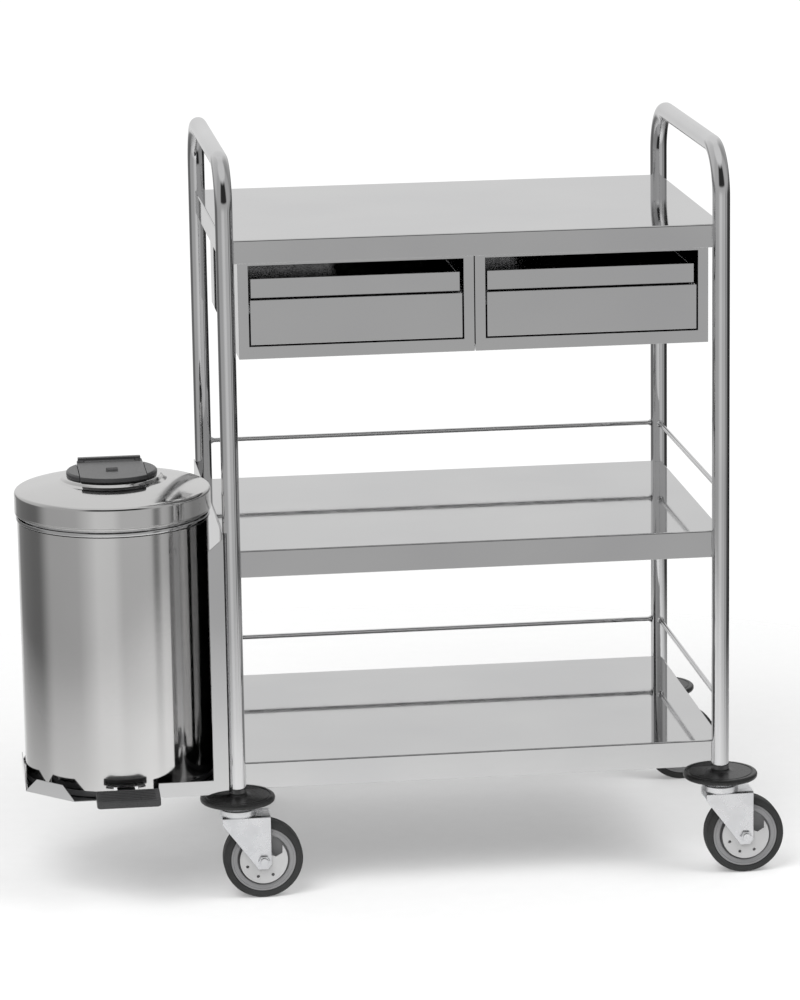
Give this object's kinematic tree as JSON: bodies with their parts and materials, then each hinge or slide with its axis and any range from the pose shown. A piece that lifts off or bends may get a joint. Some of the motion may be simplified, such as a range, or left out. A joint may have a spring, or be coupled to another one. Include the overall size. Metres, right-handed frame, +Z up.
{
  "type": "medication cart",
  "caption": "Stainless steel medication cart with open shelves, drawers under the top, push handles, swivel casters and a pedal bin in a side holder.",
  "frame": {"origin": "on the floor at the centre of the whole footprint, bin holder and casters included", "axes": "+X along the cart towards the end without the bin, +Y to the back (drawers open to -Y), +Z up"},
  "size_m": [0.956, 0.532, 0.936],
  "materials": {
    "polished_stainless": "mirror-polished stainless steel sheet",
    "tube_stainless": "polished stainless steel tube and rod",
    "bin_steel": "brushed stainless steel",
    "zinc_steel": "bright zinc-plated steel",
    "bumper_rubber": "matt black rubber",
    "tyre_rubber": "dark grey rubber tread",
    "wheel_plastic": "mid-grey moulded plastic",
    "guard_plastic": "light grey moulded plastic",
    "black_plastic": "black moulded plastic",
    "bucket_plastic": "dark grey moulded plastic"
  },
  "bodies": {
    "cart": {"side_frame_left": "tube_stainless", "side_frame_right": "tube_stainless", "top_shelf": "polished_stainless", "middle_shelf": "polished_stainless", "bottom_shelf": "polished_stainless", "back_rails": "tube_stainless", "side_rails": "tube_stainless", "drawer_housing_left": "polished_stainless", "drawer_housing_right": "polished_stainless", "drawer_guides_left": "zinc_steel", "drawer_guides_right": "zinc_steel", "bumper_disc_front_left": "bumper_rubber", "bumper_disc_front_right": "bumper_rubber", "bumper_disc_back_left": "bumper_rubber", "bumper_disc_back_right": "bumper_rubber", "caster_stems": "zinc_steel", "bin_holder": "polished_stainless", "holder_bolts": "polished_stainless", "bin_base": "black_plastic", "bin_shell": "bin_steel", "bin_collar": "polished_stainless", "bin_bucket": "bucket_plastic", "bucket_handle": "zinc_steel", "lid_hinge_bracket": "zinc_steel", "lid_hinge_pin": "zinc_steel", "pedal_pin": "zinc_steel"},
    "drawer_left": {"drawer_box_left": "polished_stainless", "drawer_front_left": "polished_stainless", "drawer_runners_left": "zinc_steel"},
    "drawer_right": {"drawer_box_right": "polished_stainless", "drawer_front_right": "polished_stainless", "drawer_runners_right": "zinc_steel"},
    "caster_front_left": {"caster_fork_front_left": "zinc_steel", "thread_guards_front_left": "guard_plastic", "axle_front_left": "zinc_steel"},
    "wheel_front_left": {"wheel_core_front_left": "wheel_plastic", "tyre_front_left": "tyre_rubber"},
    "caster_front_right": {"caster_fork_front_right": "zinc_steel", "thread_guards_front_right": "guard_plastic", "axle_front_right": "zinc_steel"},
    "wheel_front_right": {"wheel_core_front_right": "wheel_plastic", "tyre_front_right": "tyre_rubber"},
    "caster_back_left": {"caster_fork_back_left": "zinc_steel", "thread_guards_back_left": "guard_plastic", "axle_back_left": "zinc_steel"},
    "wheel_back_left": {"wheel_core_back_left": "wheel_plastic", "tyre_back_left": "tyre_rubber"},
    "caster_back_right": {"caster_fork_back_right": "zinc_steel", "thread_guards_back_right": "guard_plastic", "axle_back_right": "zinc_steel"},
    "wheel_back_right": {"wheel_core_back_right": "wheel_plastic", "tyre_back_right": "tyre_rubber"},
    "bin_lid": {"bin_lid": "bin_steel", "lid_ring": "black_plastic", "flap_pin": "zinc_steel"},
    "lid_flap": {"lid_flap": "black_plastic"},
    "pedal": {"pedal_lever": "zinc_steel", "pedal_pad": "black_plastic"},
    "push_rod": {"push_rod": "zinc_steel"}
  },
  "joints": [
    {"name": "drawer_slide_left", "type": "slide", "parent": "cart", "child": "drawer_left", "axis": [0, -1, 0], "range_m": [0, 0.3]},
    {"name": "drawer_slide_right", "type": "slide", "parent": "cart", "child": "drawer_right", "axis": [0, -1, 0], "range_m": [0, 0.3]},
    {"name": "caster_swivel_front_left", "type": "hinge", "parent": "cart", "child": "caster_front_left", "pos_m": [-0.216, -0.203, 0.112], "axis": [0, 0, 1], "continuous": true},
    {"name": "wheel_roll_front_left", "type": "hinge", "parent": "caster_front_left", "child": "wheel_front_left", "pos_m": [-0.186, -0.203, 0.05], "axis": [0, 1, 0], "continuous": true},
    {"name": "caster_swivel_front_right", "type": "hinge", "parent": "cart", "child": "caster_front_right", "pos_m": [0.398, -0.203, 0.112], "axis": [0, 0, 1], "continuous": true},
    {"name": "wheel_roll_front_right", "type": "hinge", "parent": "caster_front_right", "child": "wheel_front_right", "pos_m": [0.428, -0.203, 0.05], "axis": [0, 1, 0], "continuous": true},
    {"name": "caster_swivel_back_left", "type": "hinge", "parent": "cart", "child": "caster_back_left", "pos_m": [-0.216, 0.219, 0.112], "axis": [0, 0, 1], "continuous": true},
    {"name": "wheel_roll_back_left", "type": "hinge", "parent": "caster_back_left", "child": "wheel_back_left", "pos_m": [-0.186, 0.219, 0.05], "axis": [0, 1, 0], "continuous": true},
    {"name": "caster_swivel_back_right", "type": "hinge", "parent": "cart", "child": "caster_back_right", "pos_m": [0.398, 0.219, 0.112], "axis": [0, 0, 1], "continuous": true},
    {"name": "wheel_roll_back_right", "type": "hinge", "parent": "caster_back_right", "child": "wheel_back_right", "pos_m": [0.428, 0.219, 0.05], "axis": [0, 1, 0], "continuous": true},
    {"name": "pedal_tip", "type": "hinge", "parent": "cart", "child": "pedal", "pos_m": [-0.355, -0.11, 0.1475], "axis": [1, 0, 0], "range_deg": [0, 8]},
    {"name": "lid_hinge", "type": "hinge", "parent": "cart", "child": "bin_lid", "pos_m": [-0.355, 0.04, 0.49], "axis": [-1, 0, 0], "range_deg": [0, 60.01]},
    {"name": "push_rod_slide", "type": "slide", "parent": "cart", "child": "push_rod", "axis": [0, 0, 1], "range_m": [0, 0.0187]},
    {"name": "flap_hinge", "type": "hinge", "parent": "bin_lid", "child": "lid_flap", "pos_m": [-0.355, -0.044, 0.53], "axis": [-1, 0, 0], "range_deg": [0, 80]}
  ],
  "couplings": [
    {"joint": "lid_hinge", "follows": "pedal_tip", "ratio": 7.5},
    {"joint": "push_rod_slide", "follows": "pedal_tip", "m_per_rad": 0.133}
  ]
}
